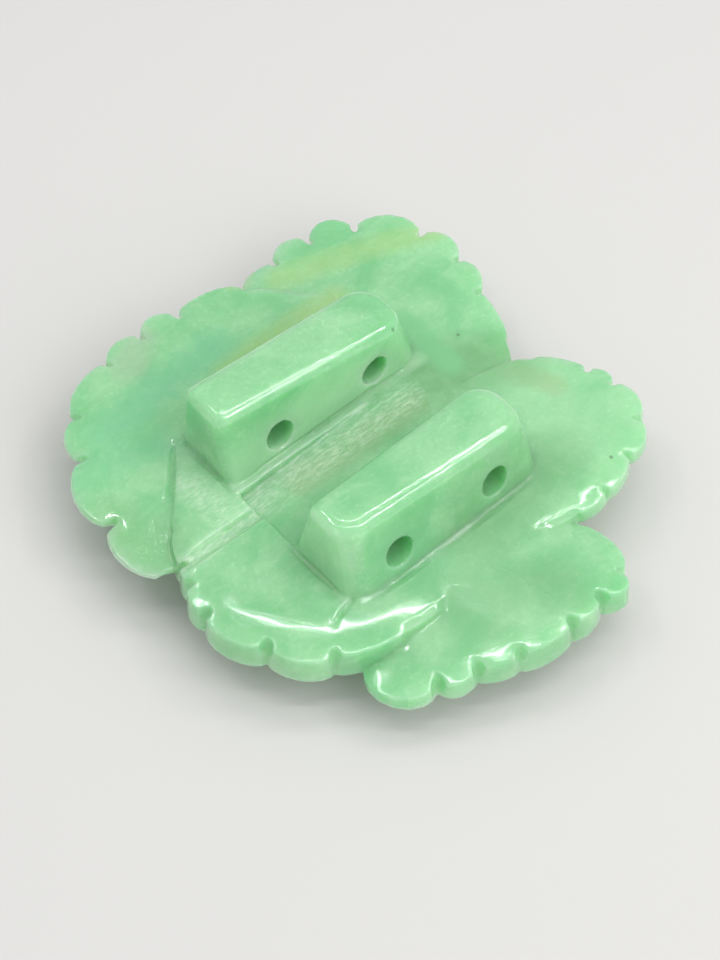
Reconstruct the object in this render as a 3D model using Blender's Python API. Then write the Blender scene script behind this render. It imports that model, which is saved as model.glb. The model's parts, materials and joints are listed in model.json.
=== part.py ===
"""A carved jade sash slide, lying on its front with its two cord bars up.

Five overlapping leaves with scalloped rims surround two parallel bars, and each bar is
drilled across for two cords. The hidden front has a plainer rosette with a flat boss.
Metres, +X along the bars, +Z up, origin under the middle of the slide on its underside.
"""

import math

import bmesh
import bpy
from mathutils import Matrix, Vector

MM = 0.001
WELD_DISTANCE = 0.01 * MM

# Leaves, all cut to the same rim profile
LEAF_SPAN = 60.0 * MM
NEAR_LEFT_RIM_THICKNESS = 4.7 * MM
NEAR_RIGHT_RIM_THICKNESS = 5.3 * MM
RIGHT_RIM_THICKNESS = 3.0 * MM
FAR_RIM_THICKNESS = 2.8 * MM
RIM_BEVEL_WIDTH = 1.2 * MM
RIM_BEVEL_DROP = 0.7 * MM
RIM_ROLL_WIDTH = 3.2 * MM
RIM_ROLL_DROP = 0.2 * MM
RIM_FLARE = 0.3 * MM
UNDER_BEVEL_WIDTH = 1.0 * MM
UNDER_BEVEL_RISE = 0.5 * MM
LEAF_ROOT_THICKNESS = 6.4 * MM
LEVEL_STEP = 0.03 * MM
ROOT_OVERLAP = 4.0 * MM
SINK_RUN = 8.0 * MM
LOBE_SQUARENESS = 0.44
FACE_RING_SHARES = (0.36, 0.62)
UNDER_RING_SHARE = 0.5
SEGMENTS_PER_LOBE = 8
SEGMENTS_PER_PLAIN_RUN = 3


def no_sink(edge):
    """The edge of a leaf that lies over its neighbour, so that its face keeps its level."""
    return dict(edge=edge, depth=0.0, fade=1.0, starts=0.0)


# A rim is a list of (bearing in degrees, reach as a share of the span, rise of the lobe that
# follows as a share of its chord), where a rise of 0 gives a plain stretch. A sink says how far
# the face drops at an edge bearing, over how many degrees it fades away from that edge, and how
# far out from the middle the drop starts
LEAVES = [
    dict(name="near left", thickness=NEAR_LEFT_RIM_THICKNESS,
         rim=[(133.1, 0.302, 0), (139.5, 0.316, 0), (153.0, 0.331, 0), (166.0, 0.348, 0.10),
              (176.3, 0.368, 0.14), (182.4, 0.380, 0.18), (191.5, 0.401, 0.18),
              (208.7, 0.404, 0.15), (225.0, 0.399, 0.07), (243.0, 0.362, 0), (253.5, 0.345, 0),
              (263.8, 0.340, 0)],
         sinks=(no_sink(133.1), dict(edge=263.8, depth=0.78 * MM, fade=10.0, starts=13.0 * MM))),
    dict(name="near right", thickness=NEAR_RIGHT_RIM_THICKNESS,
         rim=[(-140.0, 0.310, 0), (-128.0, 0.388, 0.34), (-112.5, 0.450, 0.20),
              (-103.7, 0.455, 0.12), (-94.8, 0.473, 0.12), (-82.4, 0.490, 0.16),
              (-73.8, 0.497, 0.30), (-66.0, 0.505, 0.20), (-58.2, 0.405, 0), (-52.0, 0.340, 0)],
         sinks=(dict(edge=-128.0, depth=3.2 * MM, fade=42.0, starts=13.0 * MM),
                dict(edge=-58.2, depth=1.6 * MM, fade=30.0, starts=17.5 * MM))),
    dict(name="right", thickness=RIGHT_RIM_THICKNESS,
         rim=[(-70.0, 0.345, 0), (-63.0, 0.372, 0), (-56.6, 0.403, 0.10), (-49.0, 0.443, 0.10),
              (-39.1, 0.482, 0.21), (-29.9, 0.512, 0.26), (-20.4, 0.494, 0.26),
              (-15.0, 0.466, 0.13), (-5.5, 0.394, 0), (-2.1, 0.359, 0)],
         sinks=(no_sink(-70.0), no_sink(-2.1))),
    dict(name="far", thickness=FAR_RIM_THICKNESS,
         rim=[(-9.0, 0.325, 0), (-1.9, 0.363, 0), (4.9, 0.392, 0.10), (19.1, 0.450, 0.29),
              (27.4, 0.500, 0.33), (36.5, 0.540, 0.31), (49.9, 0.543, 0.42),
              (59.3, 0.524, 0.38), (67.7, 0.491, 0.16), (77.0, 0.455, 0), (84.0, 0.380, 0)],
         sinks=(dict(edge=-1.9, depth=0.5 * MM, fade=36.0, starts=13.0 * MM),
                dict(edge=77.0, depth=1.3 * MM, fade=36.0, starts=13.0 * MM))),
    dict(name="left", thickness=FAR_RIM_THICKNESS,
         rim=[(55.3, 0.387, 0), (66.0, 0.402, 0), (77.8, 0.442, 0.18), (94.9, 0.462, 0.37),
              (104.4, 0.479, 0.30), (114.0, 0.498, 0.21), (128.5, 0.509, 0.21),
              (138.6, 0.482, 0.24), (156.1, 0.437, 0.27), (175.7, 0.373, 0), (186.0, 0.320, 0)],
         sinks=(no_sink(55.3), dict(edge=175.7, depth=1.4 * MM, fade=75.0, starts=13.0 * MM))),
]

# Bars: A is the far one, B the near one, and each edge has its place at the left and right end.
# The left corners are the far one and the near one
BAR_A = dict(name="bar A", base_ends=(-12.6 * MM, 15.0 * MM), top_ends=(-12.4 * MM, 12.9 * MM),
             base_near=(4.8 * MM, 5.4 * MM), base_far=(14.2 * MM, 14.2 * MM),
             top_near=(6.6 * MM, 6.0 * MM), top_far=(13.1 * MM, 13.5 * MM),
             heights=(9.2 * MM, 6.9 * MM), left_corners=(1.5 * MM, 1.5 * MM))
BAR_B = dict(name="bar B", base_ends=(-12.4 * MM, 14.8 * MM), top_ends=(-11.8 * MM, 13.4 * MM),
             base_near=(-14.7 * MM, -14.2 * MM), base_far=(-4.0 * MM, -4.0 * MM),
             top_near=(-12.2 * MM, -12.4 * MM), top_far=(-6.0 * MM, -4.7 * MM),
             heights=(8.75 * MM, 7.4 * MM), left_corners=(1.6 * MM, 2.9 * MM))
BAR_ROOT_DEPTH = 1.6 * MM
BAR_EDGE_ROLL = 2.2 * MM
BAR_EDGE_DROP = 1.2 * MM
BAR_RIGHT_CORNER = 3.0 * MM
BAR_LEAST_CORNER = 0.4 * MM
CORNER_SEGMENTS = 6
EDGE_SEGMENTS = 5

# Cord holes, drilled straight through both bars
HOLE_DIAMETER = 3.5 * MM
HOLE_SPACING = 13.1 * MM
HOLE_HEIGHT = 2.5 * MM
HOLE_MIDDLE_X = 1.1 * MM
HOLE_SIDES = 20

# Wheel cuts between the bars and out to the left rim
CHANNEL_DEPTH = 1.1 * MM
CHANNEL_NEAR_DEPTH = 0.2 * MM
CHANNEL_FADE_RISE = 0.25 * MM
CHANNEL_END_INSET = 0.4 * MM
CHANNEL_LEDGE = 0.7 * MM
CHANNEL_FLOOR_WIDTH = 2.6 * MM
CHANNEL_NEAR_OVERLAP = 0.6 * MM
GROOVE_FLOOR_WIDTH = 1.0 * MM
GROOVE_TOP_WIDTH = 2.6 * MM
GROOVE_DEPTH = 0.75 * MM
GROOVE_MIDDLE_Y = 0.9 * MM
GROOVE_LENGTH = 16.0 * MM
GROOVE_OVERLAP = 1.0 * MM
CUTTER_TOP = 0.5 * MM
DRILL_OVERRUN = 2.0 * MM

# Front rosette and the boss that the slide rests on
ROSETTE_PETALS = 5
ROSETTE_REACH = 17.5 * MM
ROSETTE_TOP = -1.5 * MM
ROSETTE_THICKNESS = 6.0 * MM
ROSETTE_CROWN = 0.4 * MM
ROSETTE_LOBES = 4
ROSETTE_LOBE_RISE = 0.16
ROSETTE_LOBE_SEGMENTS = 5
ROSETTE_SPREAD = 89.0
ROSETTE_SIDE_SHARE = 0.72
ROSETTE_TURN = 18.0
PETAL_CROWN_SHARE = 0.5
BOSS_REACH = 10.5 * MM
BOSS_FLAT_REACH = 6.8 * MM
BOSS_HEIGHT = 2.0 * MM
BOSS_SHOULDER_REACH = 9.0 * MM
BOSS_SHOULDER_RISE = 0.5 * MM
BOSS_EDGE_RISE = 1.6 * MM
BOSS_ROOT_DEPTH = 3.0 * MM
BOSS_SIDES = 30

JADE_COLOUR = (0.31, 0.62, 0.34, 1.0)
JADE_ROUGHNESS = 0.2
SHARP_ANGLE = 35.0


def smoothstep(value):
    value = min(1.0, max(0.0, value))
    return value * value * (3.0 - 2.0 * value)


def plan_point(bearing, reach):
    angle = math.radians(bearing)
    return Vector((reach * math.cos(angle), reach * math.sin(angle)))


def spline_point(points, index, share):
    """A point on the smooth curve through the points, between index and index + 1."""
    last = len(points) - 1
    here = points[index]
    there = points[index + 1]
    before = points[index - 1] if index > 0 else here * 2.0 - there
    after = points[index + 2] if index + 2 <= last else there * 2.0 - here
    square = share * share
    cube = square * share
    return 0.5 * (2.0 * here + (there - before) * share
                  + (2.0 * before - 5.0 * here + 4.0 * there - after) * square
                  + (3.0 * here - before - 3.0 * there + after) * cube)


def rim_curves(rim, segments_per_lobe):
    """The smooth curve through a rim's points, and the scalloped rim that stands out from it."""
    places = [plan_point(bearing, share * LEAF_SPAN) for bearing, share, rise in rim]
    smooth = []
    scalloped = []
    for index in range(len(places) - 1):
        lobe_rise = rim[index][2]
        count = segments_per_lobe if lobe_rise else SEGMENTS_PER_PLAIN_RUN
        chord = places[index + 1] - places[index]
        outward = Vector((chord.y, -chord.x)).normalized()
        for step in range(count):
            share = 0.5 - 0.5 * math.cos(math.pi * step / count) if lobe_rise else step / count
            point = spline_point(places, index, share)
            smooth.append(point)
            scalloped.append(point + outward * chord.length * lobe_rise * lobe_profile(share))
    smooth.append(places[-1])
    scalloped.append(places[-1])
    return smooth, scalloped


def lobe_profile(share):
    """A lobe's outline between two notches: steep at both ends and nearly flat between them."""
    return max(0.0, math.sin(math.pi * share)) ** LOBE_SQUARENESS


def sink_at(leaf, point):
    """How far a leaf's face lies below its level where it passes under its neighbours."""
    first, last = leaf["sinks"]
    middle = 0.5 * (first["edge"] + last["edge"])
    bearing = math.degrees(math.atan2(point.y, point.x))
    bearing = middle + (bearing - middle + 180.0) % 360.0 - 180.0
    total = 0.0
    for sink, inside in ((first, bearing - first["edge"]), (last, last["edge"] - bearing)):
        near_edge = 1.0 - min(1.0, max(0.0, inside / sink["fade"]))
        outer = smoothstep((point.length - sink["starts"]) / SINK_RUN)
        total += sink["depth"] * near_edge * outer
    return total


def sector_solid(root, columns, mesh_name):
    """A closed wedge from columns of points that run over the top, down the rim and back under."""
    shape = bmesh.new()
    rows = [[shape.verts.new(point) for point in column] for column in columns]
    top_root = shape.verts.new(root[0])
    under_root = shape.verts.new(root[1])
    for left, right in zip(rows, rows[1:]):
        for index in range(len(left) - 1):
            shape.faces.new((left[index], left[index + 1], right[index + 1], right[index]))
        shape.faces.new((top_root, left[0], right[0]))
        shape.faces.new((under_root, right[-1], left[-1]))
    shape.faces.new([top_root] + rows[-1] + [under_root])
    shape.faces.new([under_root] + rows[0][::-1] + [top_root])
    return finish_solid(shape, mesh_name)


def finish_solid(shape, mesh_name):
    bmesh.ops.triangulate(shape, faces=shape.faces[:])
    bmesh.ops.recalc_face_normals(shape, faces=shape.faces[:])
    mesh = bpy.data.meshes.new(mesh_name)
    shape.to_mesh(mesh)
    shape.free()
    solid = bpy.data.objects.new(mesh_name, mesh)
    bpy.context.scene.collection.objects.link(solid)
    return solid


def make_leaf(leaf, level):
    """One leaf: a wedge from the middle of the slide to its rim, which is rolled and bevelled."""
    smooth, scalloped = rim_curves(leaf["rim"], SEGMENTS_PER_LOBE)
    middle = sum(smooth, Vector((0.0, 0.0))) / len(smooth)
    root = -middle.normalized() * ROOT_OVERLAP
    under_level = level - leaf["thickness"]
    columns = []
    for base, edge in zip(smooth, scalloped):
        inward = (root - base).normalized()
        roll = base + inward * RIM_ROLL_WIDTH
        bevel = base + inward * RIM_BEVEL_WIDTH
        flared = edge - inward * RIM_FLARE
        under = base + inward * UNDER_BEVEL_WIDTH
        deep = root.lerp(base, UNDER_RING_SHARE)
        rim_level = level - sink_at(leaf, base)
        column = []
        for share in FACE_RING_SHARES:
            point = root.lerp(base, share)
            column.append((point.x, point.y, level - sink_at(leaf, point)))
        column.append((roll.x, roll.y, level - sink_at(leaf, roll)))
        column.append((bevel.x, bevel.y, rim_level - RIM_ROLL_DROP))
        column.append((edge.x, edge.y, rim_level - RIM_BEVEL_DROP))
        column.append((flared.x, flared.y, under_level + UNDER_BEVEL_RISE))
        column.append((under.x, under.y, under_level))
        column.append((deep.x, deep.y, level - LEAF_ROOT_THICKNESS))
        columns.append(column)
    roots = ((root.x, root.y, level), (root.x, root.y, level - LEAF_ROOT_THICKNESS))
    return sector_solid(roots, columns, "leaf " + leaf["name"])


def rounded_outline(ends, near, far, left_corners, inset):
    """A loop of plan points round a four-sided outline with round corners."""
    left, right = ends[0] + inset, ends[1] - inset
    corners = [(right, far[1] - inset, BAR_RIGHT_CORNER, 0.0),
               (left, far[0] - inset, left_corners[0], 90.0),
               (left, near[0] + inset, left_corners[1], 180.0),
               (right, near[1] + inset, BAR_RIGHT_CORNER, 270.0)]
    loop = []
    for x, y, corner, start in corners:
        radius = max(BAR_LEAST_CORNER, corner - inset)
        toward = Vector((math.cos(math.radians(start + 45.0)), math.sin(math.radians(start + 45.0))))
        centre = Vector((x, y)) - toward * radius * math.sqrt(2.0)
        for step in range(CORNER_SEGMENTS + 1):
            angle = math.radians(start + 90.0 * step / CORNER_SEGMENTS)
            loop.append(centre + Vector((math.cos(angle), math.sin(angle))) * radius)
    return loop


def make_bar(bar):
    """A bar that tapers upwards, with its top edges rounded over and its top sloping."""
    left, right = bar["top_ends"]

    def top_height(x):
        share = (x - left) / (right - left)
        return bar["heights"][0] + (bar["heights"][1] - bar["heights"][0]) * share

    corners = bar["left_corners"]
    base = rounded_outline(bar["base_ends"], bar["base_near"], bar["base_far"], corners, 0.0)
    loops = [[(point.x, point.y, -BAR_ROOT_DEPTH) for point in base]]
    for step in range(EDGE_SEGMENTS + 1):
        angle = math.radians(90.0 * step / EDGE_SEGMENTS)
        inset = BAR_EDGE_ROLL * (1.0 - math.cos(angle))
        below = BAR_EDGE_DROP * (1.0 - math.sin(angle))
        loop = rounded_outline(bar["top_ends"], bar["top_near"], bar["top_far"], corners, inset)
        loops.append([(point.x, point.y, top_height(point.x) - below) for point in loop])
    return lofted_solid(loops, bar["name"])


def lofted_solid(loops, mesh_name):
    """A closed solid through loops of points of equal number, capped at both ends."""
    shape = bmesh.new()
    rings = [[shape.verts.new(point) for point in loop] for loop in loops]
    for lower, upper in zip(rings, rings[1:]):
        for index in range(len(lower)):
            following = (index + 1) % len(lower)
            shape.faces.new((lower[index], lower[following], upper[following], upper[index]))
    shape.faces.new(rings[0][::-1])
    shape.faces.new(rings[-1])
    return finish_solid(shape, mesh_name)


def make_rosette_petal(index):
    """One notched petal of the flower on the hidden front."""
    spacing = 360.0 / ROSETTE_PETALS
    middle = ROSETTE_TURN + spacing * index
    rim = []
    for step in range(ROSETTE_LOBES + 1):
        share = step / ROSETTE_LOBES
        fullness = ROSETTE_SIDE_SHARE + (1.0 - ROSETTE_SIDE_SHARE) * lobe_profile(share)
        bearing = middle + ROSETTE_SPREAD * (share - 0.5)
        rim.append((bearing, ROSETTE_REACH * fullness / LEAF_SPAN, ROSETTE_LOBE_RISE))
    smooth, scalloped = rim_curves(rim, ROSETTE_LOBE_SEGMENTS)
    root = -plan_point(middle, ROOT_OVERLAP)
    top = ROSETTE_TOP - LEVEL_STEP * index
    underside = top - ROSETTE_THICKNESS
    columns = []
    for base, edge in zip(smooth, scalloped):
        under = base + (root - base).normalized() * UNDER_BEVEL_WIDTH
        inner = root.lerp(base, PETAL_CROWN_SHARE)
        columns.append([(edge.x, edge.y, top),
                        (edge.x, edge.y, underside + UNDER_BEVEL_RISE),
                        (under.x, under.y, underside),
                        (inner.x, inner.y, underside - ROSETTE_CROWN)])
    roots = ((root.x, root.y, top), (root.x, root.y, underside - ROSETTE_CROWN))
    return sector_solid(roots, columns, "rosette petal")


def ring_of(radius, height, sides):
    angles = [2.0 * math.pi * side / sides for side in range(sides)]
    return [(radius * math.cos(angle), radius * math.sin(angle), height) for angle in angles]


def make_boss():
    """The round boss in the middle of the front, with the flat that the slide rests on."""
    petal_underside = ROSETTE_TOP - ROSETTE_THICKNESS
    bottom = petal_underside - BOSS_HEIGHT
    loops = [ring_of(BOSS_FLAT_REACH, bottom, BOSS_SIDES),
             ring_of(BOSS_SHOULDER_REACH, bottom + BOSS_SHOULDER_RISE, BOSS_SIDES),
             ring_of(BOSS_REACH, bottom + BOSS_EDGE_RISE, BOSS_SIDES),
             ring_of(BOSS_REACH, petal_underside + BOSS_ROOT_DEPTH, BOSS_SIDES)]
    return lofted_solid(loops, "boss")


def make_channel_cutter():
    """The wheel-cut channel between the bars, which fades away to the right.

    Its floor lies along the ledge at the foot of the far bar and slopes up to the near bar.
    """
    left = min(BAR_A["base_ends"][0], BAR_B["base_ends"][0]) + CHANNEL_END_INSET
    right = max(BAR_A["base_ends"][1], BAR_B["base_ends"][1])
    ends = ((left, 0, -CHANNEL_DEPTH, -CHANNEL_NEAR_DEPTH),
            (right, 1, CHANNEL_FADE_RISE, CHANNEL_FADE_RISE))
    loops = []
    for x, end, floor, near_floor in ends:
        near = BAR_B["base_far"][end] - CHANNEL_NEAR_OVERLAP
        far = BAR_A["base_near"][end] - CHANNEL_LEDGE
        loops.append([(x, near, CUTTER_TOP), (x, far, CUTTER_TOP), (x, far, floor),
                      (x, far - CHANNEL_FLOOR_WIDTH, floor), (x, near, near_floor)])
    return lofted_solid(loops, "channel cutter")


def make_groove_cutter():
    """The narrow groove that carries the channel on to the left rim."""
    right = min(BAR_A["base_ends"][0], BAR_B["base_ends"][0]) + GROOVE_OVERLAP
    near_floor = GROOVE_MIDDLE_Y - 0.5 * GROOVE_FLOOR_WIDTH
    far_floor = GROOVE_MIDDLE_Y + 0.5 * GROOVE_FLOOR_WIDTH
    near_top = GROOVE_MIDDLE_Y - 0.5 * GROOVE_TOP_WIDTH
    far_top = GROOVE_MIDDLE_Y + 0.5 * GROOVE_TOP_WIDTH
    loops = []
    for x in (right - GROOVE_LENGTH, right):
        loops.append([(x, near_top, CUTTER_TOP), (x, far_top, CUTTER_TOP),
                      (x, far_floor, -GROOVE_DEPTH), (x, near_floor, -GROOVE_DEPTH)])
    return lofted_solid(loops, "groove cutter")


def make_drill(x):
    """A round drill that passes across both bars."""
    ends = (BAR_B["base_near"][0] - DRILL_OVERRUN, BAR_A["base_far"][0] + DRILL_OVERRUN)
    radius = 0.5 * HOLE_DIAMETER
    loops = []
    for y in ends:
        angles = [2.0 * math.pi * (side + 0.5) / HOLE_SIDES for side in range(HOLE_SIDES)]
        loops.append([(x + radius * math.cos(angle), y, HOLE_HEIGHT + radius * math.sin(angle))
                      for angle in angles])
    return lofted_solid(loops, "drill")


def apply_boolean(target, others, operation):
    """Join or cut with one exact Boolean, then remove the other objects and weld the slivers."""
    group = bpy.data.collections.new("operands")
    bpy.context.scene.collection.children.link(group)
    for other in others:
        group.objects.link(other)
    modifier = target.modifiers.new(operation.lower(), "BOOLEAN")
    modifier.operation = operation
    modifier.solver = "EXACT"
    modifier.operand_type = "COLLECTION"
    modifier.collection = group
    graph = bpy.context.evaluated_depsgraph_get()
    result = bpy.data.meshes.new_from_object(target.evaluated_get(graph))
    target.modifiers.clear()
    target.data = result
    for other in others:
        bpy.data.objects.remove(other)
    bpy.data.collections.remove(group)
    weld_slivers(target)


def weld_slivers(solid):
    shape = bmesh.new()
    shape.from_mesh(solid.data)
    bmesh.ops.remove_doubles(shape, verts=shape.verts[:], dist=WELD_DISTANCE)
    bmesh.ops.dissolve_degenerate(shape, edges=shape.edges[:], dist=WELD_DISTANCE)
    bmesh.ops.triangulate(shape, faces=shape.faces[:])
    remove_flaps(shape)
    shape.to_mesh(solid.data)
    shape.free()


def remove_flaps(shape):
    """Remove each two faces that the weld has folded back to back on the same points."""
    by_points = {}
    for face in shape.faces:
        by_points.setdefault(frozenset(face.verts), []).append(face)
    flaps = [face for faces in by_points.values() if len(faces) == 2 for face in faces]
    bmesh.ops.delete(shape, geom=flaps, context="FACES")


def set_origin_below(solid):
    """Move the mesh so that the origin is under the middle of its box, on its underside."""
    places = [vert.co for vert in solid.data.vertices]
    low = Vector([min(place[axis] for place in places) for axis in range(3)])
    high = Vector([max(place[axis] for place in places) for axis in range(3)])
    shift = Vector((-0.5 * (low.x + high.x), -0.5 * (low.y + high.y), -low.z))
    solid.data.transform(Matrix.Translation(shift))
    print("slide moved by", [round(value / MM, 3) for value in shift], "mm to its origin")
    print("slide size", [round(value / MM, 3) for value in high - low], "mm,",
          len(solid.data.polygons), "triangles")


def jade_material():
    material = bpy.data.materials.new("pale green jade")
    material.use_nodes = True
    shader = material.node_tree.nodes["Principled BSDF"]
    shader.inputs["Base Color"].default_value = JADE_COLOUR
    shader.inputs["Roughness"].default_value = JADE_ROUGHNESS
    shader.inputs["Metallic"].default_value = 0.0
    return material


def build():
    for item in list(bpy.data.objects):
        bpy.data.objects.remove(item)

    slide = make_leaf(LEAVES[0], 0.0)
    slide.name = "jade_sash_slide"
    carved = [make_leaf(leaf, -LEVEL_STEP * order)
              for order, leaf in enumerate(LEAVES[1:], start=1)]
    carved += [make_rosette_petal(index) for index in range(ROSETTE_PETALS)]
    carved.append(make_boss())
    apply_boolean(slide, carved, "UNION")
    apply_boolean(slide, [make_channel_cutter()], "DIFFERENCE")
    apply_boolean(slide, [make_groove_cutter()], "DIFFERENCE")
    apply_boolean(slide, [make_bar(BAR_A), make_bar(BAR_B)], "UNION")
    drills = [make_drill(HOLE_MIDDLE_X + side * HOLE_SPACING) for side in (-0.5, 0.5)]
    apply_boolean(slide, drills, "DIFFERENCE")

    set_origin_below(slide)
    slide.data.materials.clear()
    slide.data.materials.append(jade_material())
    slide.data.shade_smooth()
    slide.data.set_sharp_from_angle(angle=math.radians(SHARP_ANGLE))


build()
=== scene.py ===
# Jade sash slide, lying with its cord side up under soft studio light
import json
import math

import bmesh
import bpy
from mathutils import Matrix, Vector

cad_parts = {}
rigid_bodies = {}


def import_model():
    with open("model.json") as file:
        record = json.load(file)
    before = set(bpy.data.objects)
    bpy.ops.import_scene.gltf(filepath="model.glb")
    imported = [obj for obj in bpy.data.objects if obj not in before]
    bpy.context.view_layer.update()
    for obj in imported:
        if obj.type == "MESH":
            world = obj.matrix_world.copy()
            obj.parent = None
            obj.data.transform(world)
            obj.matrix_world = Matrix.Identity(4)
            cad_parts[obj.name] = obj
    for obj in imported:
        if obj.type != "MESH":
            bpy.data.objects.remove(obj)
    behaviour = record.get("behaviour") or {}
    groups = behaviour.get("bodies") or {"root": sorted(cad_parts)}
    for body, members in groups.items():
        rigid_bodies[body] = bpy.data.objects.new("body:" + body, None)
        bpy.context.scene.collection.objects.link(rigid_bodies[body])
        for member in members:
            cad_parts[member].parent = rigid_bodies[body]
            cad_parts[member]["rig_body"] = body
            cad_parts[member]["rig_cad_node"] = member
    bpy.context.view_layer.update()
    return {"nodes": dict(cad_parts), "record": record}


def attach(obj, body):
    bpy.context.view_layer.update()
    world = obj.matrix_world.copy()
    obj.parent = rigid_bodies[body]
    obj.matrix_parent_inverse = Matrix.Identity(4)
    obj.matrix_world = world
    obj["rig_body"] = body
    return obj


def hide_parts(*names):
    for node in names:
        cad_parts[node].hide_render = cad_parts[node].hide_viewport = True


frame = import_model()

mm = 0.001
slideNode = "jade_sash_slide"
leafLevel = 9.5 * mm  # height of the leaves' faces, from which carving depths are counted
restSpot = next(m["pos_m"] for m in frame["record"]["mounts"] if m["name"] == "front_rest")
carvingCentre = Vector((restSpot[0], restSpot[1], leafLevel))


def inCarving(x, y, z=0.0):
    # millimetres from the middle of the leaves' faces, as a point in the frame
    return carvingCentre + Vector((x, y, z)) * mm


# Shaping helpers

def pickOnly(piece):
    if bpy.context.object and bpy.context.object.mode != "OBJECT":
        bpy.ops.object.mode_set(mode="OBJECT")
    bpy.ops.object.select_all(action="DESELECT")
    piece.select_set(True)
    bpy.context.view_layer.objects.active = piece


def useModifier(piece, kind, **settings):
    pickOnly(piece)
    modifier = piece.modifiers.new(kind.lower(), kind)
    for name, value in settings.items():
        setattr(modifier, name, value)
    bpy.ops.object.modifier_apply(modifier=modifier.name)


def triangleCount(piece):
    return sum(len(face.vertices) - 2 for face in piece.data.polygons)


# The carving

carving = dict(
    name="jade_carving",
    weld=0.002 * mm,
    voxel=0.20 * mm, strength=0.5,
    leafLevelness=0.92, leafSteps=500, barsAbove=0.3 * mm,
    polishSteps=4,
    triangles=185000,
    waveSize=7.0 * mm, waveDepth=0.06 * mm,
    rippleSize=1.6 * mm, rippleDepth=0.016 * mm,
    waveMiddle=0.7,  # a little inward, so that the crests stay inside the solid's box
    quietBelow=1.5 * mm,  # no waves near the flat that it rests on
)

# rim notches: the fold in the wall where two lobes meet is opened by a round wheel, which is
# wider on a thick rim
notch = dict(
    wallSteepness=0.6, leastFold=math.radians(70.0), leastHeight=0.5 * mm,
    leastReach=19.0 * mm, clearOf=1.0 * mm,
    thickRim=1.9 * mm, thickWidth=1.5 * mm, thinWidth=0.9 * mm,
    reachIn=1.2 * mm, height=3.6 * mm, out=0.80 * mm, lean=-0.45,
)

# the lens that each cut is ground with
cutLens = dict(segments=24, rings=16)

# each wheel cut runs between two places, in millimetres from the middle of the leaves' faces
wheelCuts = dict(
    farBarLeftFoot=dict(start=(-12.95, 14.6), end=(-12.7, 3.0), width=0.6, depth=0.30),
    farBarNearFoot=dict(start=(-13.4, 4.9), end=(15.6, 5.85), width=0.5, depth=0.28),
    nearBarLeftFoot=dict(start=(-12.6, -3.0), end=(-12.2, -13.4), width=0.7, depth=0.32),
    nearBarFootLeft=dict(start=(-11.6, -14.8), end=(5.0, -14.7), width=0.9, depth=0.30),
    nearBarFootRight=dict(start=(0.0, -14.8), end=(13.6, -14.1), width=0.9, depth=0.30),
    farBarRightCrease=dict(start=(15.6, 13.6), end=(15.9, 0.6), width=2.6, depth=0.34),
    nearBarRightCrease=dict(start=(15.9, -3.4), end=(15.7, -11.5), width=1.6, depth=0.35),
    cornerNick=dict(start=(-11.2, -13.3), end=(-15.0, -14.4), width=0.7, depth=0.40),
    channelEnd=dict(start=(-12.3, 5.2), end=(-12.2, 0.4), width=0.5, depth=0.40),
    leftLeafVein=dict(start=(-6.2, 23.5), end=(-0.4, 21.3), width=0.5, depth=0.20),
    leftLeafFineVein=dict(start=(-9.8, 20.5), end=(-3.0, 18.2), width=0.4, depth=0.15),
    leafJunction=dict(start=(15.6, 1.4), end=(24.4, -1.2), width=3.0, depth=0.35),
    leftStepFoot=dict(start=(-13.2, 14.2, -0.35), end=(-21.8, 4.2, -0.95), width=1.0, depth=0.40),
)


def copySolid():
    pickOnly(frame["nodes"][slideNode])
    bpy.ops.object.duplicate()
    piece = bpy.context.object
    piece.name = carving["name"]
    piece.data = piece.data.copy()
    piece.data.name = carving["name"]
    piece.parent = None
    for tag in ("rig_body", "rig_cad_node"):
        del piece[tag]
    bpy.ops.object.mode_set(mode="EDIT")
    bpy.ops.mesh.select_all(action="SELECT")
    bpy.ops.mesh.remove_doubles(threshold=carving["weld"])
    bpy.ops.object.mode_set(mode="OBJECT")
    return piece


def makeLens(middle, turn, lean, halfSizes):
    # a lens sunk to its middle in the stone leaves the cut of a grinding wheel
    bpy.ops.mesh.primitive_uv_sphere_add(segments=cutLens["segments"], ring_count=cutLens["rings"],
                                         radius=1.0, location=middle,
                                         rotation=(0.0, lean, turn), scale=halfSizes)
    bpy.ops.object.transform_apply(location=True, rotation=True, scale=True)
    return bpy.context.object


def makeCutLens(cut):
    start = inCarving(*cut["start"])
    end = inCarving(*cut["end"])
    along = end - start
    return makeLens((start + end) / 2, math.atan2(along.y, along.x), 0.0,
                    (along.length / 2, cut["width"] * mm / 2, cut["depth"] * mm))


def findNotches(piece):
    # the inward folds between two steep walls, as the top of each fold and the way it faces
    found = []
    shape = bmesh.new()
    shape.from_mesh(piece.data)
    for edge in shape.edges:
        if len(edge.link_faces) != 2:
            continue
        one, other = (face.normal for face in edge.link_faces)
        low, high = sorted((vert.co for vert in edge.verts), key=lambda place: place.z)
        facing = Vector((one.x + other.x, one.y + other.y, 0.0)).normalized()
        steep = max(abs(one.z), abs(other.z)) < notch["wallSteepness"]
        folded = -edge.calc_face_angle_signed(0.0) > notch["leastFold"]
        tall = high.z - low.z > notch["leastHeight"]
        offset = Vector((high.x - carvingCentre.x, high.y - carvingCentre.y, 0.0))
        outer = offset.length > notch["leastReach"] and offset.dot(facing) > 0.0
        if steep and folded and tall and outer:
            if all((high - known[0]).length > notch["clearOf"] for known in found):
                thick = high.z - low.z > notch["thickRim"]
                width = notch["thickWidth" if thick else "thinWidth"]
                found.append((high.copy(), facing, width))
    shape.free()
    return found


def makeNotchLenses(piece):
    # each one leans, so that it runs in over the face and fades out down the wall
    return [makeLens(top + facing * notch["out"], math.atan2(facing.y, facing.x), notch["lean"],
                     (notch["reachIn"], width / 2, notch["height"]))
            for top, facing, width in findNotches(piece)]


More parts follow.
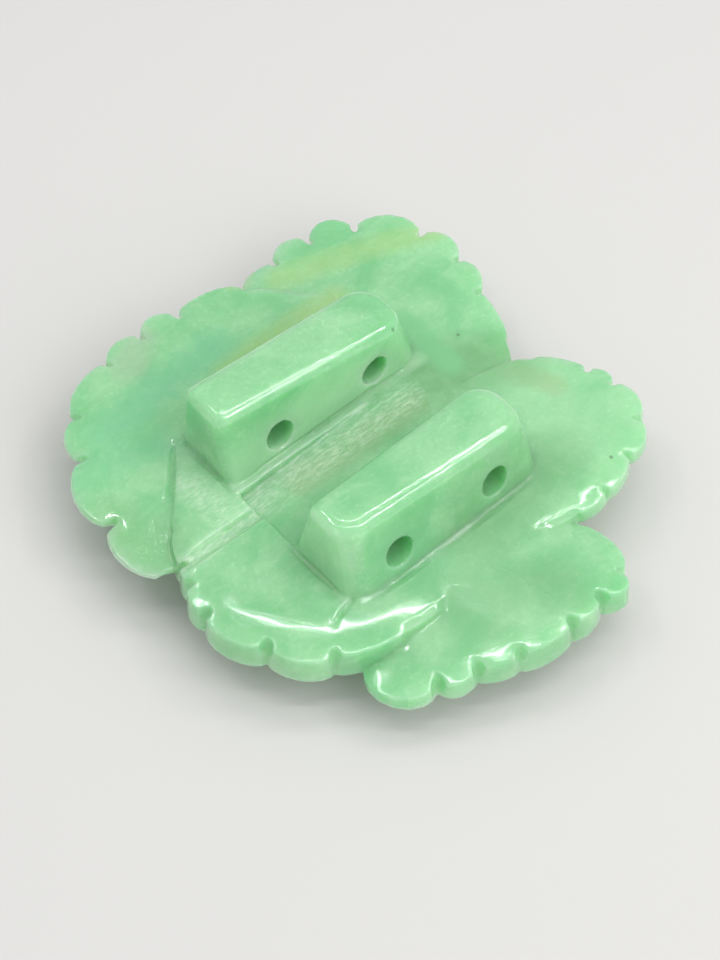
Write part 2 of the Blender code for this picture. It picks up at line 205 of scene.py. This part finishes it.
def grindAll(piece, lenses):
    wheels = bpy.data.collections.new("wheels")
    bpy.context.scene.collection.children.link(wheels)
    for lens in lenses:
        wheels.objects.link(lens)
    useModifier(piece, "BOOLEAN", operation="DIFFERENCE", solver="EXACT",
                operand_type="COLLECTION", collection=wheels)
    for lens in lenses:
        bpy.data.objects.remove(lens)
    bpy.data.collections.remove(wheels)


def voxelRemesh(piece, size):
    pickOnly(piece)
    piece.data.remesh_voxel_size = size
    bpy.ops.object.voxel_remesh()


def smoothLeaves(piece):
    # only the level faces move, so that their facets run into each other between fixed edges
    highest = leafLevel + carving["barsAbove"]
    level = piece.vertex_groups.new(name="level faces")
    level.add([vertex.index for vertex in piece.data.vertices
               if vertex.normal.z > carving["leafLevelness"] and vertex.co.z < highest],
              1.0, "REPLACE")
    useModifier(piece, "SMOOTH", factor=carving["strength"], iterations=carving["leafSteps"],
                vertex_group=level.name)
    piece.vertex_groups.clear()


def cloudTexture(name, size):
    texture = bpy.data.textures.new(name, "CLOUDS")
    texture.noise_scale = size
    texture.noise_depth = 1
    return texture


def polishStone(piece):
    useModifier(piece, "SMOOTH", factor=carving["strength"], iterations=carving["polishSteps"])
    loose = piece.vertex_groups.new(name="above the rest")
    for vertex in piece.data.vertices:
        share = min(1.0, max(0.0, vertex.co.z / carving["quietBelow"] - 1.0))
        loose.add([vertex.index], share, "REPLACE")
    for label, size, depth in (("waves", carving["waveSize"], carving["waveDepth"]),
                               ("ripples", carving["rippleSize"], carving["rippleDepth"])):
        useModifier(piece, "DISPLACE", texture=cloudTexture(label, size), strength=depth,
                    mid_level=carving["waveMiddle"], texture_coords="LOCAL",
                    vertex_group=loose.name)
    piece.vertex_groups.clear()
    keep = min(1.0, carving["triangles"] / triangleCount(piece))
    useModifier(piece, "DECIMATE", ratio=keep)
    pickOnly(piece)
    bpy.ops.object.shade_smooth()


def makeCarving():
    piece = copySolid()
    print("solid copied:", triangleCount(piece), "triangles")
    lenses = makeNotchLenses(piece)
    print("rim notches found:", len(lenses))
    lenses += [makeCutLens(cut) for cut in wheelCuts.values()]
    grindAll(piece, lenses)
    print("cuts ground:", triangleCount(piece), "triangles")
    voxelRemesh(piece, carving["voxel"])
    smoothLeaves(piece)
    print("remeshed and smoothed:", triangleCount(piece), "triangles")
    polishStone(piece)
    print("carving finished:", triangleCount(piece), "triangles")
    return piece


# Shader expressions

class Value:
    # a node's output that takes part in sums like a number
    def __init__(self, finish, socket):
        self.finish = finish
        self.socket = socket

    def __add__(self, other):
        return self.finish.sum("ADD", self, other)

    def __radd__(self, other):
        return self.finish.sum("ADD", other, self)

    def __sub__(self, other):
        return self.finish.sum("SUBTRACT", self, other)

    def __rsub__(self, other):
        return self.finish.sum("SUBTRACT", other, self)

    def __mul__(self, other):
        return self.finish.sum("MULTIPLY", self, other)

    def __rmul__(self, other):
        return self.finish.sum("MULTIPLY", other, self)

    def __pow__(self, other):
        return self.finish.sum("POWER", self, other)

    def clamped(self):
        return self.finish.node("ShaderNodeClamp", {}, {"Value": self})


class Finish:
    # one material and the nodes that make it
    def __init__(self, name):
        self.material = bpy.data.materials.new(name)
        self.material.use_nodes = True
        self.tree = self.material.node_tree
        self.shader = self.tree.nodes["Principled BSDF"]

    def node(self, kind, settings, sockets, output=0):
        made = self.tree.nodes.new(kind)
        for name, value in settings.items():
            if name == "stops":
                self.setStops(made.color_ramp, value)
            else:
                setattr(made, name, value)
        for name, value in sockets.items():
            self.feed(made.inputs[name], value)
        return Value(self, made.outputs[output])

    def setStops(self, ramp, stops):
        while len(ramp.elements) < len(stops):
            ramp.elements.new(0.5)
        for element, (position, level) in zip(ramp.elements, stops):
            element.position = position
            element.color = (level, level, level, 1.0)

    def feed(self, socket, value):
        if isinstance(value, Value):
            self.tree.links.new(value.socket, socket)
        else:
            socket.default_value = value

    def sum(self, operation, first, second):
        return self.node("ShaderNodeMath", {"operation": operation}, {0: first, 1: second})

    def set(self, **sockets):
        for name, value in sockets.items():
            self.feed(self.shader.inputs[name.replace("_", " ")], value)

    def noise(self, place, name):
        look = patterns[name]
        return self.node("ShaderNodeTexNoise", {}, {
            "Vector": place, "Scale": look["scale"], "Detail": look["detail"],
            "Roughness": look["roughness"], "Distortion": look.get("distortion", 0.0)})

    def ramp(self, value, name):
        return self.node("ShaderNodeValToRGB", {"stops": levels[name]}, {"Fac": value})

    def mix(self, share, first, second):
        return self.node("ShaderNodeMix", {"data_type": "RGBA"}, {0: share, 6: first, 7: second}, 2)

    def stretch(self, place, factors, turn):
        return self.node("ShaderNodeMapping", {}, {
            "Vector": place, "Scale": factors, "Rotation": (0.0, 0.0, turn)})


# Jade

jade = dict(
    milky=(0.335, 0.655, 0.360, 1.0),
    deep=(0.225, 0.570, 0.275, 1.0),
    moss=(0.190, 0.440, 0.190, 1.0),
    teal=(0.200, 0.575, 0.320, 1.0),
    cloud=(0.480, 0.780, 0.490, 1.0),
    olive=(0.400, 0.600, 0.210, 1.0),
    brown=(0.330, 0.450, 0.200, 1.0),
    blush=(0.430, 0.540, 0.400, 1.0),
    # whitish frosted ground, partly the real frosting and partly painted glints standing in for sparkle
    frostAndGlint=(0.700, 0.860, 0.670, 1.0),
    speck=(0.050, 0.160, 0.070, 1.0),
    glow=1.0, glowReach=(0.60, 1.0, 0.60), glowScale=5.5 * mm,
    polish=0.07, satin=0.13, ground=0.28, worn=0.36,
    ior=1.62, coat=0.6, coatRoughness=0.03,
    bumpStrength=0.25, bumpDepth=0.10 * mm,
)

# the stone's patterns: scales are per millimetre, and the levels say where each one starts and
# where it is full
patterns = dict(
    clouds=dict(scale=0.13, detail=4.0, roughness=0.55, distortion=0.4),
    wisps=dict(scale=1.0, detail=5.0, roughness=0.6, distortion=0.6),
    mottle=dict(scale=0.55, detail=5.0, roughness=0.6, distortion=0.3),
    sugar=dict(scale=1.5, detail=4.0, roughness=0.65),
    grain=dict(scale=3.2, detail=3.0, roughness=0.6),
    marks=dict(scale=1.0, detail=5.0, roughness=0.7),
    wispStretch=(0.16, 0.36, 0.3), wispTurn=0.6,
    markStretch=(0.9, 3.4, 2.0), markTurn=0.1,
    speckScale=0.15, speckShare=0.55,
    frostAndGlintShare=0.75, streakMottle=1.5, streakBase=0.25,
    grainBump=0.35, markBump=2.4, sugarBump=0.5,
)
levels = dict(
    milky=((0.38, 0.0), (0.62, 1.0)),
    wisps=((0.50, 0.0), (0.78, 0.45)),
    mottle=((0.48, 0.0), (0.75, 0.45)),
    sugar=((0.52, 0.0), (0.70, 0.45)),
    sugarInClouds=((0.4, 0.3), (0.6, 1.0)),
    marks=((0.45, 0.1), (0.64, 0.9)),
    specks=((0.030, 1.0), (0.042, 0.0)),
    gloss=((0.35, jade["polish"]), (0.70, jade["satin"])),
)

# coloured streaks and patches, in millimetres from the middle of the leaves' faces; some of them are
# painted light or painted shade, as marked
streaks = dict(
    oliveByFarBar=dict(start=(-3.5, 17.6), end=(12.5, 18.2), width=2.2, colour="olive", share=0.55),
    oliveInFarLeaf=dict(start=(10.0, 24.8), end=(27.0, 18.8), width=2.4, colour="olive", share=0.45),
    oliveAtFarRim=dict(start=(5.5, 27.5), end=(9.0, 30.0), width=1.8, colour="olive", share=0.40),
    stainOnRightLeaf=dict(start=(20.4, -2.4), end=(22.4, -6.6), width=2.0, colour="brown", share=0.55),
    stainInChannel=dict(start=(-6.0, 1.6), end=(9.0, 1.0), width=2.4, colour="brown", share=0.40),
    blushOnLeftLobe=dict(start=(-7.6, 27.6), end=(-11.0, 25.0), width=2.6, colour="blush", share=0.50),
    mossByNearBar=dict(start=(3.0, -16.0), end=(16.5, -13.8), width=4.6, colour="moss", share=0.50),
    # painted shade: a dark moss patch laid in the shaded saddle where the far and right leaves meet
    paintedShadeAtJunction=dict(start=(14.5, 2.5), end=(21.0, -0.5), width=5.5, colour="moss", share=0.80),
    mossOnNearRightLeaf=dict(start=(-2.0, -21.0), end=(4.5, -25.5), width=5.0, colour="moss", share=0.45),
    mossInLowLobe=dict(start=(-25.0, 10.5), end=(-23.0, 4.5), width=4.5, colour="moss", share=0.55),
    # painted light: a pale band that lifts the shaded near side of the far bar
    paintedLightOnFarBarSide=dict(start=(-11.5, 5.3), end=(14.0, 5.5), width=1.1, colour="cloud", share=0.55),
    # painted light: a pale band that lifts the shaded left end of the near bar
    paintedLightOnNearBarEnd=dict(start=(-11.9, -6.0), end=(-11.7, -12.6), width=1.1, colour="cloud", share=0.45),
    paleOnRightLeaf=dict(start=(19.0, -6.0), end=(24.0, -15.0), width=7.0, colour="cloud", share=0.28),
    tealInLeftLeaf=dict(start=(-18.0, 20.0), end=(-2.0, 21.4), width=3.2, colour="teal", share=0.65),
    tealByLeftRim=dict(start=(-22.0, 17.0), end=(-15.0, 15.0), width=3.0, colour="teal", share=0.45),
    # painted shade: dark green laid in the crease at the foot of the far bar's right end
    paintedShadeInCrease=dict(start=(15.8, 11.0), end=(15.9, 2.8), width=2.1, colour="deep", share=0.90),
    # painted shade: dark green on the sunk part of the near right leaf, under the near left leaf's step
    paintedShadeUnderStep=dict(start=(-8.0, -25.5), end=(-3.0, -21.5), width=2.6, colour="deep", share=0.50),
)

# matt places where the grinding marks were left
groundPlaces = dict(
    channel=dict(start=(-12.0, 2.2), end=(9.0, 2.6), width=2.6),
    groove=dict(start=(-21.5, 1.0), end=(-12.5, 1.2), width=1.5),
    leftFacet=dict(start=(-15.6, 8.2), end=(-15.2, 3.6), width=2.3),
)

# the crown of the near right leaf, where the polish is worn to satin
wornCrown = dict(start=(-0.8, -18.6), end=(1.8, -26.4), width=5.0)


def strip(x, y, place):
    # one on the line between two places, fading to nothing at its width
    x0, y0 = place["start"]
    x1, y1 = place["end"]
    runX, runY = x1 - x0, y1 - y0
    square = runX * runX + runY * runY
    along = ((x - x0) * (runX / square) + (y - y0) * (runY / square)).clamped()
    offX = x - (along * runX + x0)
    offY = y - (along * runY + y0)
    return (1.0 - (offX * offX + offY * offY) * (1.0 / place["width"] ** 2)).clamped()


def jadeFinish():
    finish = Finish("polished jade")
    spot = finish.node("ShaderNodeTexCoord", {}, {}, "Object")
    place = finish.node("ShaderNodeVectorMath", {"operation": "SUBTRACT"},
                        {0: spot, 1: tuple(carvingCentre)})
    place = finish.node("ShaderNodeVectorMath", {"operation": "SCALE"},
                        {0: place, "Scale": 1.0 / mm})
    x = finish.node("ShaderNodeSeparateXYZ", {}, {0: place}, "X")
    y = finish.node("ShaderNodeSeparateXYZ", {}, {0: place}, "Y")

    clouds = finish.noise(place, "clouds")
    wisps = finish.noise(finish.stretch(place, patterns["wispStretch"], patterns["wispTurn"]), "wisps")
    mottle = finish.noise(place, "mottle")
    sugar = finish.noise(place, "sugar")
    grain = finish.noise(place, "grain")

    colour = finish.mix(finish.ramp(clouds, "milky"), jade["deep"], jade["milky"])
    colour = finish.mix(finish.ramp(wisps, "wisps"), colour, jade["cloud"])
    colour = finish.mix(finish.ramp(mottle, "mottle"), colour, jade["deep"])
    sugarShare = finish.ramp(sugar, "sugar") * finish.ramp(clouds, "sugarInClouds")
    colour = finish.mix(sugarShare, colour, jade["cloud"])
    uneven = mottle * patterns["streakMottle"] + patterns["streakBase"]
    for streak in streaks.values():
        share = (strip(x, y, streak) * uneven).clamped() * streak["share"]
        colour = finish.mix(share, colour, jade[streak["colour"]])

    groundMask = strip(x, y, groundPlaces["channel"])
    for name in ("groove", "leftFacet"):
        groundMask = finish.sum("MAXIMUM", groundMask, strip(x, y, groundPlaces[name]))
    marks = finish.noise(finish.stretch(place, patterns["markStretch"], patterns["markTurn"]), "marks")
    # frosted whitish marks in the ground places: partly the real frosting, partly painted glints for the
    # sparkle
    frostAndGlintShare = groundMask * finish.ramp(marks, "marks") * patterns["frostAndGlintShare"]
    colour = finish.mix(frostAndGlintShare, colour, jade["frostAndGlint"])

    crumbs = finish.node("ShaderNodeTexVoronoi", {"feature": "F1"}, {
        "Vector": place, "Scale": patterns["speckScale"], "Randomness": 1.0}, "Distance")
    speckShare = finish.ramp(crumbs, "specks") * patterns["speckShare"]
    colour = finish.mix(speckShare, colour, jade["speck"])

    roughness = finish.ramp(mottle, "gloss")
    roughness = roughness + groundMask * (jade["ground"] - jade["polish"])
    wornMask = strip(x, y, wornCrown) ** 2.0
    roughness = roughness + wornMask * (jade["worn"] - jade["polish"])
    coat = (1.0 - wornMask) * jade["coat"]
    bump = (grain * patterns["grainBump"] + marks * groundMask * patterns["markBump"]
            + sugar * patterns["sugarBump"])
    normal = finish.node("ShaderNodeBump", {}, {
        "Strength": jade["bumpStrength"], "Distance": jade["bumpDepth"], "Height": bump}, "Normal")

    finish.set(Base_Color=colour, Roughness=roughness, Normal=normal,
               Subsurface_Weight=jade["glow"], Subsurface_Radius=jade["glowReach"],
               Subsurface_Scale=jade["glowScale"], IOR=jade["ior"],
               Coat_Weight=coat, Coat_Roughness=jade["coatRoughness"])
    return finish.material


# The studio

studio = dict(
    floorSize=3.0,
    floorColour=(0.69, 0.68, 0.66, 1.0), floorRoughness=0.9,
    skyColour=(0.97, 0.98, 1.0, 1.0), skyStrength=0.56,
    keyPlace=(-0.16, 0.34, 0.55), keySize=0.40, keyGlow=0.6,
    fillPlace=(0.08, -0.46, 0.38), fillSize=0.45, fillGlow=2.2,
    # the strips, to the camera's right of the middle, ahead of it and above it
    frameRight=0.075, frameAhead=0.040, frameUp=0.36,
    frameWidth=0.36, frameDepth=0.15, frameStrip=0.009, frameGlow=24.0,
    leftStripReach=0.255,  # further out than the right one, clear of the near leaves
)


def addFloor():
    bpy.ops.mesh.primitive_plane_add(size=studio["floorSize"], location=(0.0, 0.0, 0.0))
    floor = bpy.context.object
    floor.name = "studio_floor"
    finish = Finish("pale studio floor")
    finish.set(Base_Color=studio["floorColour"], Roughness=studio["floorRoughness"])
    floor.data.materials.append(finish.material)


def addAreaLight(name, place, along, length, breadth, glow, mirrored):
    # glow is the light's brightness as it would be seen; only the strips are mirrored
    back = (place - carvingCentre).normalized()
    across = back.cross(along).normalized()
    bpy.ops.object.light_add(type="AREA")
    light = bpy.context.object
    light.name = name
    turned = Matrix((across.cross(back), across, back)).transposed().to_4x4()
    light.matrix_world = Matrix.Translation(place) @ turned
    light.data.shape = "RECTANGLE"
    light.data.size = length
    light.data.size_y = breadth
    light.data.energy = glow * math.pi * length * breadth
    light.visible_glossy = mirrored


def addLights():
    world = bpy.data.worlds.new("soft sky")
    bpy.context.scene.world = world
    world.use_nodes = True
    sky = world.node_tree.nodes["Background"]
    sky.inputs["Color"].default_value = studio["skyColour"]
    sky.inputs["Strength"].default_value = studio["skyStrength"]

    right, ahead = viewAxes()[:2]
    for name in ("key", "fill"):
        addAreaLight("soft_" + name, carvingCentre + Vector(studio[name + "Place"]), right,
                     studio[name + "Size"], studio[name + "Size"], studio[name + "Glow"], False)

    # thin strips round a rectangle, which the polished edges mirror as bright lines
    middle = (carvingCentre + right * studio["frameRight"] + ahead * studio["frameAhead"]
              + Vector((0.0, 0.0, studio["frameUp"])))
    for name, side, along, length in (
            ("near", ahead * (-studio["frameDepth"] / 2), right, studio["frameWidth"]),
            ("far", ahead * (studio["frameDepth"] / 2), right, studio["frameWidth"]),
            ("left", right * -studio["leftStripReach"], ahead, studio["frameDepth"]),
            ("right", right * (studio["frameWidth"] / 2), ahead, studio["frameDepth"])):
        addAreaLight("frame_" + name, middle + side, along, length, studio["frameStrip"],
                     studio["frameGlow"], True)


# The camera, from the picture's own frame

view = dict(azimuth=-40.3, elevation=55.0, focalPixels=2106.0, pixelsPerMm=9.5,
            centreAt=(355.0, 455.0), picture=(720.0, 960.0), sensor=36.0, clipStart=0.01)


def viewAxes():
    # level to the right, level away from the camera, then the camera's own forward and up
    turn = math.radians(-view["azimuth"])
    tilt = math.radians(view["elevation"])
    right = Vector((math.cos(turn), -math.sin(turn), 0.0))
    ahead = Vector((math.sin(turn), math.cos(turn), 0.0))
    forward = ahead * math.cos(tilt) - Vector((0.0, 0.0, math.sin(tilt)))
    up = ahead * math.sin(tilt) + Vector((0.0, 0.0, math.cos(tilt)))
    return right, ahead, forward, up


def addCamera():
    right, ahead, forward, up = viewAxes()
    width, height = view["picture"]
    ray = (right * (view["centreAt"][0] - width / 2) - up * (view["centreAt"][1] - height / 2)
           + forward * view["focalPixels"])
    distance = view["focalPixels"] / view["pixelsPerMm"] * mm
    place = carvingCentre - ray * (distance / ray.dot(forward))
    bpy.ops.object.camera_add(location=place)
    camera = bpy.context.object
    camera.name = "picture_camera"
    turned = Matrix((right, up, -forward)).transposed().to_4x4()
    camera.matrix_world = Matrix.Translation(place) @ turned
    camera.data.sensor_width = view["sensor"]
    camera.data.lens = view["focalPixels"] * view["sensor"] / height
    camera.data.clip_start = view["clipStart"]
    bpy.context.scene.camera = camera


bpy.ops.object.select_all(action="DESELECT")
addCamera()
print("camera placed")

slide = makeCarving()
slide.data.materials.clear()
slide.data.materials.append(jadeFinish())
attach(slide, "root")
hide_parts(slideNode)
print("jade finish made")

addFloor()
addLights()
bpy.context.scene.view_settings.view_transform = "Standard"
print("studio lit")
